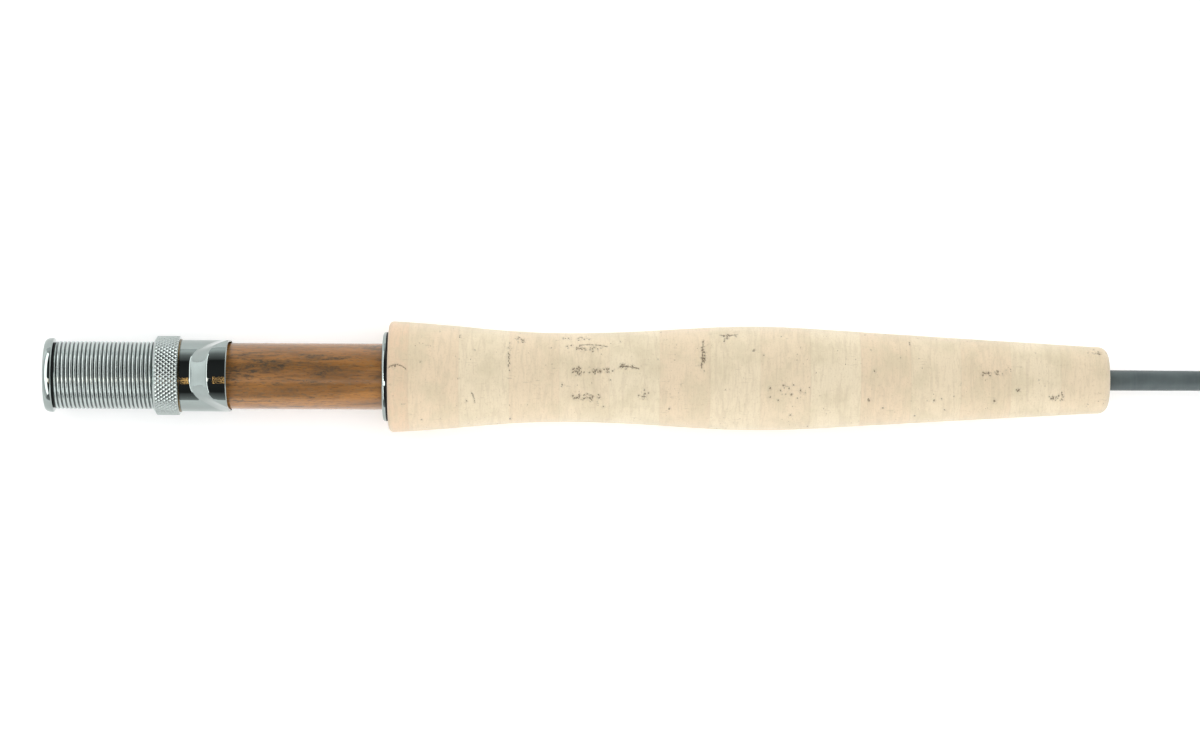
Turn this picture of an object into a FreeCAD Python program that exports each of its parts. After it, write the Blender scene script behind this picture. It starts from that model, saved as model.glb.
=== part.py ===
"""Fly rod handle: screw-locking reel seat, cork grip and the butt of the blank.

The rod's axis is +X, from the centre of the butt cap's end face towards the tip. +Z is the side
that the reel's foot lies on. Millimetres and degrees.
"""
import FreeCAD, Part
import os
import re

import Sketcher
from FreeCAD import Placement, Rotation, Vector

# Stations are distances along the axis from the butt face.
SIZES = {
    # butt cap and its sealing ring
    "cap_radius": 9.54,
    "cap_neck_start": 2.25,
    "cap_neck_radius": 7.95,
    "cap_edge_round": 0.85,
    "cap_back_round": 0.4,
    "cap_plug_end": 9.0,
    "cap_pocket_start": 3.0,
    "cap_pocket_radius": 3.7,
    "seal_section_radius": 0.2,
    # threaded barrel, an 11/16 inch tube with 24 threads to the inch
    "barrel_start": 2.7,
    "barrel_end": 38.6,
    "barrel_bore_radius": 7.1,
    "barrel_end_chamfer": 0.35,
    "thread_radius": 8.73,
    "thread_depth": 0.45,
    "thread_pitch": 25.4 / 24,
    "thread_turns": 33,
    "thread_root_half": 0.15,
    "thread_flank": 0.34,
    "thread_clearance": 0.08,
    "thread_overrun": 0.2,
    # lock nut
    "nut_start": 27.95,
    "nut_end": 34.3,
    "nut_radius": 10.11,
    "nut_back_chamfer": 0.6,
    "nut_front_chamfer": 0.2,
    "nut_thread_end": 31.5,
    "nut_thread_turns": 5,
    "nut_first_turn": 23,
    "nut_counterbore_radius": 9.32,
    "nut_ring_groove_radius": 9.52,
    # snap ring and bushing between the nut and the hood
    "ring_groove_start": 32.0,
    "ring_groove_end": 32.5,
    "snap_ring_play": 0.05,
    "snap_ring_inner_radius": 8.99,
    "snap_ring_outer_radius": 9.47,
    "snap_ring_sweep": 330,
    "bushing_start": 32.9,
    "bushing_end": 34.68,
    "bushing_inner_radius": 9.14,
    "bushing_outer_radius": 9.28,
    # sliding hood
    "skirt_start": 31.75,
    "skirt_radius": 9.1,
    "skirt_groove_radius": 8.96,
    "hood_start": 34.75,
    "hood_mouth": 47.25,
    "hood_radius": 9.19,
    "hood_bore_radius": 8.81,
    "ramp_start": 37.5,
    "ramp_end": 41.9,
    "ramp_foot_radius": 6.8,
    "ramp_top_radius": 7.65,
    "bulge_radius": 9.45,
    "bulge_height": 12.85,
    "hood_wall": 0.55,
    "inner_ramp_lag": 0.35,
    "mouth_overrun": 0.5,
    # wood insert
    "insert_radius": 8.45,
    "insert_tenon_radius": 7.05,
    "insert_tenon_start": 9.1,
    "insert_bore_radius": 5.2,
    "insert_end": 98.4,
    # fixed hood, let into the cork
    "bezel_start": 86.0,
    "bezel_end": 86.9,
    "bezel_radius": 11.46,
    "bezel_round": 0.6,
    "cup_bore_radius": 8.5,
    "cup_wall": 0.45,
    "cup_floor": 98.5,
    "cup_end": 99.1,
    "cup_hole_radius": 4.6,
    "foot_pocket_radius": 8.7,
    "foot_pocket_height": 10.4,
    "gasket_radius": 11.34,
    "gasket_gap": 0.02,
    # cork grip
    "grip_start": 87.5,
    "first_cork_length": 5.3,
    "cork_length": 12.7,
    "cork_count": 15,
    "recess_gap": 0.06,
    "bore_gap": 0.03,
    "grip_front_round": 2.6,
    "grip_butt_round": 1.2,
    # blank
    "blank_start": 3.0,
    "blank_end": 300,
    "blank_butt_radius": 3.6,
    "blank_tip_radius": 2.52,
    "blank_wall": 0.75,
    "spigot_glued_radius": 1.75,
    "spigot_radius": 1.58,
    "spigot_start": 272,
    "spigot_end": 326,
    "spigot_chamfer": 0.4,
    # bushings that centre the blank in the insert
    "arbor_length": 9,
    "arbor_first": 16,
    "arbor_spacing": 34,
    "arbor_count": 3,
    "arbor_gap": 0.04,
}

# Outline of the turned grip: station and radius of each point that the curve goes through.
GRIP_OUTLINE = {
    "butt": (87.5, 14.15),
    "flare": (98.4, 13.5),
    "flare_middle": (110.6, 12.45),
    "flare_foot": (122.5, 11.56),
    "waist": (133.0, 11.34),
    "palm_foot": (147.3, 11.66),
    "palm_rise": (163.7, 12.6),
    "palm": (182.0, 13.22),
    "taper_top": (196.3, 12.65),
    "taper_middle": (216.7, 11.42),
    "taper_foot": (241.2, 9.98),
    "front": (270.6, 8.34),
}
for point_name, (station, radius) in GRIP_OUTLINE.items():
    SIZES[f"grip_{point_name}_station"] = station
    SIZES[f"grip_{point_name}_radius"] = radius

# Sketcher's numbers for the ends and the centre of an edge, and for the origin, which it keeps as
# an edge's start.
START, END, CENTRE = 1, 2, 3
ORIGIN = -1

CROSSWISE = Rotation(Vector(0, 1, 0), 90)  # turns a primitive's own Z axis to the rod's +X

SAME_PLACE = 1e-6

doc = FreeCAD.newDocument("FlyRodHandle")


def make_sheet():
    """The spreadsheet of driving dimensions, one row each: name, value."""
    table = doc.addObject("Spreadsheet::Sheet", "Sizes")
    for row, (alias, value) in enumerate(SIZES.items(), start=1):
        table.set(f"A{row}", alias)
        table.set(f"B{row}", repr(value))
        table.setAlias(f"B{row}", alias)
    doc.recompute()
    return table


sheet = make_sheet()


def on_sheet(expression):
    """The expression with each of its words read from the spreadsheet."""
    return re.sub(r"[a-z]\w*", lambda word: "Sizes." + word.group(), str(expression))


def value_of(expression):
    """The number that an expression on the spreadsheet comes to."""
    return float(sheet.evalExpression(on_sheet(expression)))


def bind(item, **properties):
    """Bind each property of an object to its expression on the spreadsheet."""
    for name, expression in properties.items():
        item.setExpression(name, on_sheet(expression))


def make_body(name):
    body = doc.addObject("PartDesign::Body", name)
    body.Label = name
    return body


def origin_feature(body, role):
    return next(item for item in body.Origin.OriginFeatures if item.Role == role)


def make_sketch(body, name, plane, station="0"):
    """A sketch on one of the body's own origin planes, moved out along it to a station."""
    sketch = body.newObject("Sketcher::SketchObject", name)
    sketch.AttachmentSupport = (origin_feature(body, plane), [""])
    sketch.MapMode = "FlatFace"
    sketch.setExpression("AttachmentOffset.Base.z", on_sheet(station))
    return sketch


def hold_point(sketch, edge, end, across, up):
    """Dimension one end of a sketch's edge from the sketch's origin."""
    for kind, expression in (("DistanceX", across), ("DistanceY", up)):
        dimension = Sketcher.Constraint(kind, ORIGIN, START, edge, end, value_of(expression))
        number = sketch.addConstraint(dimension)
        sketch.setExpression(f"Constraints[{number}]", on_sheet(expression))


def outline(body, name, corners):
    """A closed outline of straight edges; each corner is a station and a radius."""
    sketch = make_sketch(body, name, "XY_Plane")
    places = [Vector(value_of(station), value_of(radius), 0) for station, radius in corners]
    following = [(number + 1) % len(corners) for number in range(len(corners))]
    for number, next_number in enumerate(following):
        sketch.addGeometry(Part.LineSegment(places[number], places[next_number]))
    for number, next_number in enumerate(following):
        sketch.addConstraint(Sketcher.Constraint("Coincident", number, END, next_number, START))
    for number, (station, radius) in enumerate(corners):
        hold_point(sketch, number, START, station, radius)
    return sketch


def circle(body, name, station, radius, height):
    """A circle square to the axis, its centre raised from the axis towards +Z."""
    sketch = make_sketch(body, name, "YZ_Plane", station)
    centre = Vector(0, value_of(height), 0)
    sketch.addGeometry(Part.Circle(centre, Vector(0, 0, 1), value_of(radius)))
    hold_point(sketch, 0, CENTRE, "0", height)
    number = sketch.addConstraint(Sketcher.Constraint("Radius", 0, value_of(radius)))
    sketch.setExpression(f"Constraints[{number}]", on_sheet(radius))
    return sketch


def revolve(body, name, corners, feature="PartDesign::Revolution", sweep="360"):
    """Turn an outline about the rod's axis, as metal or, for a groove, as a cut."""
    turning = body.newObject(feature, name)
    turning.Profile = outline(body, name + "_outline", corners)
    turning.ReferenceAxis = (origin_feature(body, "X_Axis"), [""])
    bind(turning, Angle=sweep)
    return turning


def turned(name, corners, sweep="360"):
    """A body that is one outline turned about the rod's axis."""
    body = make_body(name)
    revolve(body, name + "_turning", corners, sweep=sweep)
    return body


def tube(name, start, end, inner, outer, sweep="360"):
    """A turned body with straight walls and square ends."""
    corners = [(start, inner), (start, outer), (end, outer), (end, inner)]
    return turned(name, corners, sweep)


def extrude(body, name, sketch, length, cut=False):
    """Pad a sketch towards +X, or cut a pocket that way."""
    feature = body.newObject("PartDesign::Pocket" if cut else "PartDesign::Pad", name)
    feature.Profile = sketch
    feature.Reversed = cut
    bind(feature, Length=length)
    return feature


def loft(body, name, sections, cut=False):
    """Join circles, each a station, radius and centre height, with straight-sided walls."""
    kind = "PartDesign::SubtractiveLoft" if cut else "PartDesign::AdditiveLoft"
    sketches = [
        circle(body, f"{name}_section_{number}", *section)
        for number, section in enumerate(sections, start=1)
    ]
    feature = body.newObject(kind, name)
    feature.Profile = sketches[0]
    feature.Sections = sketches[1:]
    feature.Ruled = True
    return feature


def cut_thread(body, middle, deep_radius, deep_half, shallow_radius, turns):
    """Cut a right-hand thread whose groove, at its deep radius, is twice deep_half wide."""
    rise = f"({shallow_radius} - ({deep_radius}))"
    if value_of(rise) < 0:
        rise = f"({deep_radius} - ({shallow_radius}))"
    shallow_half = f"({deep_half}) + thread_flank * {rise}"
    groove = body.newObject("PartDesign::SubtractiveHelix", body.Name + "_thread")
    groove.Profile = outline(
        body,
        body.Name + "_thread_outline",
        [
            (f"{middle} - ({deep_half})", deep_radius),
            (f"{middle} + ({deep_half})", deep_radius),
            (f"{middle} + {shallow_half}", shallow_radius),
            (f"{middle} - ({shallow_half})", shallow_radius),
        ],
    )
    groove.ReferenceAxis = (origin_feature(body, "X_Axis"), [""])
    groove.Mode = "pitch-height-angle"
    bind(groove, Pitch="thread_pitch", Height=f"thread_pitch * {turns}")
    return groove


def round_edges(body, name, places, radius):
    """Round the body's circular edges at the given stations and radii."""
    doc.recompute()
    base = body.Tip
    edges = [
        f"Edge{number}"
        for number, edge in enumerate(base.Shape.Edges, start=1)
        for station, edge_radius in places
        if isinstance(edge.Curve, Part.Circle)
        and abs(edge.Curve.Center.x - value_of(station)) < SAME_PLACE
        and abs(edge.Curve.Radius - value_of(edge_radius)) < SAME_PLACE
    ]
    fillet = body.newObject("PartDesign::Fillet", name)
    fillet.Base = (base, edges)
    bind(fillet, Radius=radius)
    return fillet


def blank_radius(station):
    """The tapered blank's outer radius at a station, as an expression."""
    taper = "(blank_butt_radius - blank_tip_radius) / (blank_end - blank_start)"
    return f"(blank_butt_radius - ({station} - blank_start) * {taper})"


def make_butt_cap():
    """A turned button with a neck for the sealing ring, a plug and a pocket for the blank."""
    plug_radius = "barrel_bore_radius - bore_gap"
    body = turned(
        "butt_cap",
        [
            ("0", "0"),
            ("0", "cap_radius"),
            ("cap_neck_start", "cap_radius"),
            ("cap_neck_start", "cap_neck_radius"),
            ("barrel_start", "cap_neck_radius"),
            ("barrel_start", plug_radius),
            ("cap_plug_end", plug_radius),
            ("cap_plug_end", "cap_pocket_radius"),
            ("cap_pocket_start", "cap_pocket_radius"),
            ("cap_pocket_start", "0"),
        ],
    )
    round_edges(body, "cap_edge_rounding", [("0", "cap_radius")], "cap_edge_round")
    round_edges(body, "cap_back_rounding", [("cap_neck_start", "cap_radius")], "cap_back_round")
    return body


def make_butt_seal():
    """The black ring in the neck between the cap and the barrel."""
    seal = doc.addObject("Part::Torus", "butt_seal")
    seal.Label = "butt_seal"
    seal.Placement = Placement(Vector(), CROSSWISE)
    seal.setExpression("Placement.Base.x", on_sheet("(cap_neck_start + barrel_start) / 2"))
    bind(seal, Radius1="cap_neck_radius + seal_section_radius", Radius2="seal_section_radius")
    return seal


THREAD_START = "(barrel_start - thread_pitch / 2)"


def make_threaded_barrel():
    """The seat's rear tube, threaded for nearly its whole length."""
    body = turned(
        "threaded_barrel",
        [
            ("barrel_start", "barrel_bore_radius"),
            ("barrel_start", "thread_radius - barrel_end_chamfer"),
            ("barrel_start + barrel_end_chamfer", "thread_radius"),
            ("barrel_end - barrel_end_chamfer", "thread_radius"),
            ("barrel_end", "thread_radius - barrel_end_chamfer"),
            ("barrel_end", "barrel_bore_radius"),
        ],
    )
    cut_thread(
        body,
        middle=THREAD_START,
        deep_radius="thread_radius - thread_depth",
        deep_half="thread_root_half",
        shallow_radius="thread_radius + thread_overrun",
        turns="thread_turns",
    )
    return body


def make_lock_nut():
    """The knurled nut's blank form, threaded inside and bored out at the front for the hood."""
    bore = "thread_radius - thread_depth + thread_clearance"
    body = turned(
        "lock_nut",
        [
            ("nut_start", bore),
            ("nut_start", "nut_radius - nut_back_chamfer"),
            ("nut_start + nut_back_chamfer", "nut_radius"),
            ("nut_end - nut_front_chamfer", "nut_radius"),
            ("nut_end", "nut_radius - nut_front_chamfer"),
            ("nut_end", "nut_counterbore_radius"),
            ("ring_groove_end", "nut_counterbore_radius"),
            ("ring_groove_end", "nut_ring_groove_radius"),
            ("ring_groove_start", "nut_ring_groove_radius"),
            ("ring_groove_start", "nut_counterbore_radius"),
            ("nut_thread_end", "nut_counterbore_radius"),
            ("nut_thread_end", bore),
        ],
    )
    crest_half = "thread_pitch / 2 - thread_root_half - thread_flank * thread_depth"
    cut_thread(
        body,
        middle=f"({THREAD_START} + thread_pitch * (nut_first_turn + 0.5))",
        deep_radius="thread_radius + thread_clearance",
        deep_half=f"{crest_half} + thread_clearance * (1 - thread_flank)",
        shallow_radius=f"{bore} - thread_overrun",
        turns="nut_thread_turns",
    )
    return body


def make_snap_ring():
    """A split ring, half in the nut's groove and half in the hood's, that draws the hood back."""
    return tube(
        "snap_ring",
        start="ring_groove_start + snap_ring_play",
        end="ring_groove_end - snap_ring_play",
        inner="snap_ring_inner_radius",
        outer="snap_ring_outer_radius",
        sweep="snap_ring_sweep",
    )


def make_swivel_bushing():
    """The brass sleeve that the hood turns in; its edge shows between nut and hood."""
    return tube(
        "swivel_bushing",
        start="bushing_start",
        end="bushing_end",
        inner="bushing_inner_radius",
        outer="bushing_outer_radius",
    )


def bulge_sections(start, end, mouth, wall, foot_height):
    """The reel foot's housing: circles that rise up the ramp and widen to the mouth."""
    foot_radius = f"ramp_foot_radius - {wall}"
    top_radius = f"ramp_top_radius - {wall}"
    mouth_radius = f"bulge_radius - {wall}"
    roof = f"bulge_height - {wall}"
    return [
        (start, foot_radius, f"{foot_height} - ({foot_radius})"),
        (end, top_radius, f"{roof} - ({top_radius})"),
        (mouth, mouth_radius, f"{roof} - ({mouth_radius})"),
    ]


def make_sliding_hood():
    """A tube with a housing for the reel's foot along +Z and a skirt that runs into the nut."""
    body = make_body("sliding_hood")
    revolve(
        body,
        "hood_turning",
        [
            ("skirt_start", "0"),
            ("skirt_start", "skirt_radius"),
            ("ring_groove_start", "skirt_radius"),
            ("ring_groove_start", "skirt_groove_radius"),
            ("ring_groove_end", "skirt_groove_radius"),
            ("ring_groove_end", "skirt_radius"),
            ("hood_start", "skirt_radius"),
            ("hood_start", "hood_radius"),
            ("hood_mouth", "hood_radius"),
            ("hood_mouth", "0"),
        ],
    )
    outside = bulge_sections(
        "ramp_start", "ramp_end", "hood_mouth", wall="0", foot_height="(hood_radius - bore_gap)"
    )
    loft(body, "housing", outside)
    bore = [
        ("skirt_start - mouth_overrun", "0"),
        ("skirt_start - mouth_overrun", "hood_bore_radius"),
        ("hood_mouth + mouth_overrun", "hood_bore_radius"),
        ("hood_mouth + mouth_overrun", "0"),
    ]
    revolve(body, "hood_bore", bore, feature="PartDesign::Groove")
    inside = bulge_sections(
        "ramp_start + inner_ramp_lag",
        "ramp_end + inner_ramp_lag",
        "hood_mouth + mouth_overrun",
        wall="hood_wall",
        foot_height="(hood_bore_radius - bore_gap)",
    )
    loft(body, "foot_space", inside, cut=True)
    return body


def make_wood_insert():
    """The barrel-to-cork spacer that the reel's foot lies on, with a tenon in the barrel."""
    return turned(
        "wood_insert",
        [
            ("insert_tenon_start", "insert_bore_radius"),
            ("insert_tenon_start", "insert_tenon_radius"),
            ("barrel_end", "insert_tenon_radius"),
            ("barrel_end", "insert_radius"),
            ("insert_end", "insert_radius"),
            ("insert_end", "insert_bore_radius"),
        ],
    )


POCKET_CENTRE = "(foot_pocket_height - foot_pocket_radius)"


def make_fixed_hood():
    """A cup in the cork with a pocket for the reel's foot along +Z and a flat bezel outside."""
    body = turned(
        "fixed_hood",
        [
            ("bezel_start", "0"),
            ("bezel_start", "bezel_radius"),
            ("bezel_end", "bezel_radius"),
            ("bezel_end", "cup_bore_radius + cup_wall"),
            ("cup_end", "cup_bore_radius + cup_wall"),
            ("cup_end", "0"),
        ],
    )
    shell = circle(
        body, "pocket_shell_circle", "bezel_end", "foot_pocket_radius + cup_wall", POCKET_CENTRE
    )
    extrude(body, "pocket_shell", shell, "cup_end - bezel_end")
    depth = "cup_floor - bezel_start"
    bore = circle(body, "cup_bore_circle", "bezel_start", "cup_bore_radius", "0")
    extrude(body, "cup_bore", bore, depth, cut=True)
    pocket = circle(body, "foot_pocket_circle", "bezel_start", "foot_pocket_radius", POCKET_CENTRE)
    extrude(body, "foot_pocket", pocket, depth, cut=True)
    hole = circle(body, "blank_hole_circle", "bezel_start", "cup_hole_radius", "0")
    extrude(body, "blank_hole", hole, "cup_end - bezel_start", cut=True)
    round_edges(body, "bezel_rounding", [("bezel_start", "bezel_radius")], "bezel_round")
    return body


def make_hood_gasket():
    """The black washer between the bezel and the cork, cut out around the cup."""
    body = tube(
        "hood_gasket",
        start="bezel_end + gasket_gap",
        end="grip_start - gasket_gap",
        inner="cup_bore_radius + cup_wall + recess_gap",
        outer="gasket_radius",
    )
    way = circle(
        body,
        "gasket_pocket_circle",
        "bezel_end",
        "foot_pocket_radius + cup_wall + recess_gap",
        POCKET_CENTRE,
    )
    extrude(body, "gasket_pocket", way, "grip_start - bezel_end", cut=True)
    return body


def make_blank():
    """The tapered graphite tube, from the pocket in the butt cap to the joint."""
    return turned(
        "blank",
        [
            ("blank_start", "blank_butt_radius - blank_wall"),
            ("blank_start", "blank_butt_radius"),
            ("blank_end", "blank_tip_radius"),
            ("blank_end", "blank_tip_radius - blank_wall"),
        ],
    )


def make_ferrule_spigot():
    """The plug glued into the blank's end; the rod's next section slides over its thinner half."""
    return turned(
        "ferrule_spigot",
        [
            ("spigot_start", "0"),
            ("spigot_start", "spigot_glued_radius"),
            ("blank_end", "spigot_glued_radius"),
            ("blank_end", "spigot_radius"),
            ("spigot_end - spigot_chamfer", "spigot_radius"),
            ("spigot_end", "spigot_radius - spigot_chamfer"),
            ("spigot_end", "0"),
        ],
    )


def make_arbor_bushing(number):
    """One of the bushings that centre the blank in the insert, its bore tapered to fit."""
    start = f"(arbor_first + arbor_spacing * {number})"
    end = f"({start} + arbor_length)"
    outer = "insert_bore_radius - arbor_gap"
    return turned(
        f"arbor_bushing_{number + 1}",
        [
            (start, blank_radius(start) + " + arbor_gap"),
            (start, outer),
            (end, outer),
            (end, blank_radius(end) + " + arbor_gap"),
        ],
    )


def cylinder(name, start, end, radius, height="0"):
    """A plain cylinder along the axis, its centre raised towards +Z."""
    solid = doc.addObject("Part::Cylinder", name)
    solid.Placement = Placement(Vector(), CROSSWISE)
    bind(solid, Radius=radius, Height=f"({end}) - ({start})")
    solid.setExpression("Placement.Base.x", on_sheet(start))
    solid.setExpression("Placement.Base.z", on_sheet(height))
    return solid


def make_grip_form():
    """The whole grip as turned on a lathe, before it is bored."""
    places = [
        Vector(value_of(f"grip_{name}_station"), value_of(f"grip_{name}_radius"), 0)
        for name in GRIP_OUTLINE
    ]
    curve = Part.BSplineCurve()
    curve.interpolate(places)
    butt, front = places[0], places[-1]
    profile = Part.Wire(
        [
            curve.toShape(),
            Part.makeLine(front, Vector(front.x, 0, 0)),
            Part.makeLine(Vector(front.x, 0, 0), Vector(butt.x, 0, 0)),
            Part.makeLine(Vector(butt.x, 0, 0), butt),
        ]
    )
    solid = Part.Face(profile).revolve(Vector(), Vector(1, 0, 0), 360)
    for corner, size in ((butt, "grip_butt_round"), (front, "grip_front_round")):
        edges = [
            edge
            for edge in solid.Edges
            if isinstance(edge.Curve, Part.Circle)
            and abs(edge.Curve.Center.x - corner.x) < SAME_PLACE
            and abs(edge.Curve.Radius - corner.y) < SAME_PLACE
        ]
        solid = solid.makeFillet(value_of(size), edges)
    form = doc.addObject("Part::Feature", "grip_form")
    form.Shape = solid
    return form


def make_bored_grip():
    """The grip form less the blank's tapered bore and the recess for the fixed hood."""
    recess_end = "cup_end + recess_gap"
    cup = cylinder(
        "cup_recess", "bezel_end", recess_end, "cup_bore_radius + cup_wall + recess_gap"
    )
    pocket = cylinder(
        "pocket_recess",
        "bezel_end",
        recess_end,
        "foot_pocket_radius + cup_wall + recess_gap",
        POCKET_CENTRE,
    )
    bore = doc.addObject("Part::Cone", "grip_bore")
    bore.Placement = Placement(Vector(), CROSSWISE)
    bore.setExpression("Placement.Base.x", on_sheet("blank_start"))
    bind(
        bore,
        Radius1="blank_butt_radius + bore_gap",
        Radius2="blank_tip_radius + bore_gap",
        Height="blank_end - blank_start",
    )
    hollow = doc.addObject("Part::MultiFuse", "grip_hollow")
    hollow.Shapes = [cup, pocket, bore]
    bored = doc.addObject("Part::Cut", "bored_grip")
    bored.Base = make_grip_form()
    bored.Tool = hollow
    return bored


def make_cork_rings():
    """The grip's glued rings: a thin one against the hood, then rings of one length."""
    grip = make_bored_grip()
    rings = []
    start = "grip_start"
    end = "(grip_start + first_cork_length)"
    stock_radius = "grip_butt_radius + cork_length"
    for number in range(1, SIZES["cork_count"] + 1):
        name = f"cork_ring_{number:02d}"
        stock = cylinder(name + "_stock", start, end, stock_radius)
        ring = doc.addObject("Part::Common", name)
        ring.Label = name
        ring.Base = grip
        ring.Tool = stock
        rings.append(ring)
        start = end
        end = f"(grip_start + first_cork_length + cork_length * {number})"
    return rings


def make_pieces():
    pieces = [
        make_butt_cap(),
        make_butt_seal(),
        make_threaded_barrel(),
        make_lock_nut(),
        make_snap_ring(),
        make_swivel_bushing(),
        make_sliding_hood(),
        make_wood_insert(),
        make_fixed_hood(),
        make_hood_gasket(),
        make_blank(),
        make_ferrule_spigot(),
    ]
    pieces += [make_arbor_bushing(number) for number in range(SIZES["arbor_count"])]
    pieces += make_cork_rings()
    return pieces


def check(pieces):
    """Stop if any object failed to build or any piece isn't one sound solid."""
    failed = [
        item.Name for item in doc.Objects if "Invalid" in item.State or "Error" in item.State
    ]
    if failed:
        raise RuntimeError(f"failed to build: {failed}")
    for piece in pieces:
        shape = piece.Shape
        if shape.isNull() or not shape.isValid() or len(shape.Solids) != 1:
            raise RuntimeError(f"{piece.Label} isn't one sound solid")


def main():
    pieces = make_pieces()
    doc.recompute()
    check(pieces)
    os.makedirs("parts", exist_ok=True)
    for piece in pieces:
        piece.Shape.exportStep(f"parts/{piece.Label}.step")
        box = piece.Shape.BoundBox
        print(f"{piece.Label}: {piece.Shape.Volume:.1f} mm3, x {box.XMin:.2f} to {box.XMax:.2f}")


main()
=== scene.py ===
"""Looks of the fly rod handle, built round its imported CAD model.

The rod's axis is X, from the butt towards the tip. The reel hangs on the +Z side.
Outlines here are in millimetres, and become metres when a mesh is made.
"""

import math

import bmesh
import bpy
import numpy as np
from mathutils import Matrix, Vector, noise


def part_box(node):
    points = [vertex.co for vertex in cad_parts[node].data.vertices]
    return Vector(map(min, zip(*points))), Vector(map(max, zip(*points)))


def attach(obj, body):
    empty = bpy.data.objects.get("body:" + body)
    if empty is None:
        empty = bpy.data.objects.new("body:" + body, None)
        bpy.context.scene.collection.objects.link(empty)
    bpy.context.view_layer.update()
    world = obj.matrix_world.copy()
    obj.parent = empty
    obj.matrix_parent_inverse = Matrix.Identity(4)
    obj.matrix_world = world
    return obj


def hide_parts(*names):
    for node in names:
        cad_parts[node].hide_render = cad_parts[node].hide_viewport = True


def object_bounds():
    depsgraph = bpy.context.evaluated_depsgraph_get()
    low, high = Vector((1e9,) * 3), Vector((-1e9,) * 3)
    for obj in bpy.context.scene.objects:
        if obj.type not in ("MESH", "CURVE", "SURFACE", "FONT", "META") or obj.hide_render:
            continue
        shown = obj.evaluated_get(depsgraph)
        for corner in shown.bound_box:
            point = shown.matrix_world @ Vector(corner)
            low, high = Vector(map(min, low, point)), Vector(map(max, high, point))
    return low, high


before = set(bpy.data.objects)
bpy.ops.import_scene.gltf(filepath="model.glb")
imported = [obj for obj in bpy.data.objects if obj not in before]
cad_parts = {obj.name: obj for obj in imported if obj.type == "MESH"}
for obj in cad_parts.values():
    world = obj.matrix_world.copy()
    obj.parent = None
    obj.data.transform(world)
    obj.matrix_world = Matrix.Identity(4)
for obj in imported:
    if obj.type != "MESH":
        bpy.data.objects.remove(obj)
cad_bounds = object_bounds()

MM = 0.001
TURN = 2 * math.pi
MERGE_DISTANCE = 1e-7
EDGE_POINTS = 9
LATHE_COLUMNS = 288


def span(node):
    """A CAD node's first and last station along the rod, in millimetres."""
    low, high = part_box(node)
    return low.x / MM, high.x / MM


def reach(node):
    """A round CAD node's radius, in millimetres."""
    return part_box(node)[1].y / MM


# ---------------------------------------------------------------- mesh building


def around(count):
    """Angles once round the axis, from +Y towards +Z."""
    return np.arange(count) * TURN / count


def wrapped(stations, radii, angles):
    """Points at each station, radius and angle, which are arrays that fit together."""
    stations, radii, angles = np.broadcast_arrays(stations, radii, angles)
    return np.stack([stations, radii * np.cos(angles), radii * np.sin(angles)], axis=-1)


def joined(points, seam=None, closed=True):
    """Quads between rows and columns of points. After a full turn, row i meets row seam[i]."""
    rows, columns = points.shape[:2]
    row = np.arange(rows)
    seam = row if seam is None else seam
    index = row[:, None] * columns + np.arange(columns)
    index = np.concatenate([index, seam[:, None] * columns], axis=1)
    if closed:
        index = np.concatenate([index, index[:1]])
    corners = [index[:-1, :-1], index[:-1, 1:], index[1:, 1:], index[1:, :-1]]
    return np.stack(corners, axis=-1).reshape(-1, 4)


def tidied(mesh):
    """Merge the points that lie on each other, and drop the faces that this closes up."""
    work = bmesh.new()
    work.from_mesh(mesh)
    bmesh.ops.remove_doubles(work, verts=work.verts, dist=MERGE_DISTANCE)
    bmesh.ops.dissolve_degenerate(work, edges=work.edges, dist=MERGE_DISTANCE)
    work.to_mesh(mesh)
    work.free()


def skin(name, points, material, sharp=32, marks=None, **how):
    """An object from rows of points in millimetres, smooth apart from edges over sharp degrees."""
    mesh = bpy.data.meshes.new(name)
    mesh.from_pydata((points.reshape(-1, 3) * MM).tolist(), [], joined(points, **how).tolist())
    for mark, values in (marks or {}).items():
        layer = mesh.attributes.new(mark, "FLOAT", "POINT")
        layer.data.foreach_set("value", values.astype(np.float32).ravel())
    tidied(mesh)
    mesh.shade_smooth()
    mesh.set_sharp_from_angle(angle=math.radians(sharp))
    mesh.materials.append(material)
    piece = bpy.data.objects.new(name, mesh)
    bpy.context.scene.collection.objects.link(piece)
    return piece


def lathe(name, outline, material, columns=LATHE_COLUMNS, closed=True):
    """A turned piece. Its outline runs towards the tip outside and back inside."""
    outline = np.array(outline)
    points = wrapped(outline[:, :1], outline[:, 1:], around(columns)[None, :])
    return skin(name, points, material, closed=closed)


def front_edge(end, radius, size):
    """Outline points round an outer edge, from the side of a piece onto its front face."""
    angles = np.radians(np.linspace(90, 0, EDGE_POINTS))
    return [(end - size + size * math.cos(a), radius - size + size * math.sin(a)) for a in angles]


def stand_for(piece, node, body):
    """Show this piece in place of a CAD node."""
    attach(piece, body)
    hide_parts(node)
    return piece


# ---------------------------------------------------------------- material building


SPOT_CORE = 0.55  # the share of a spot's size that is solid


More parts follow.
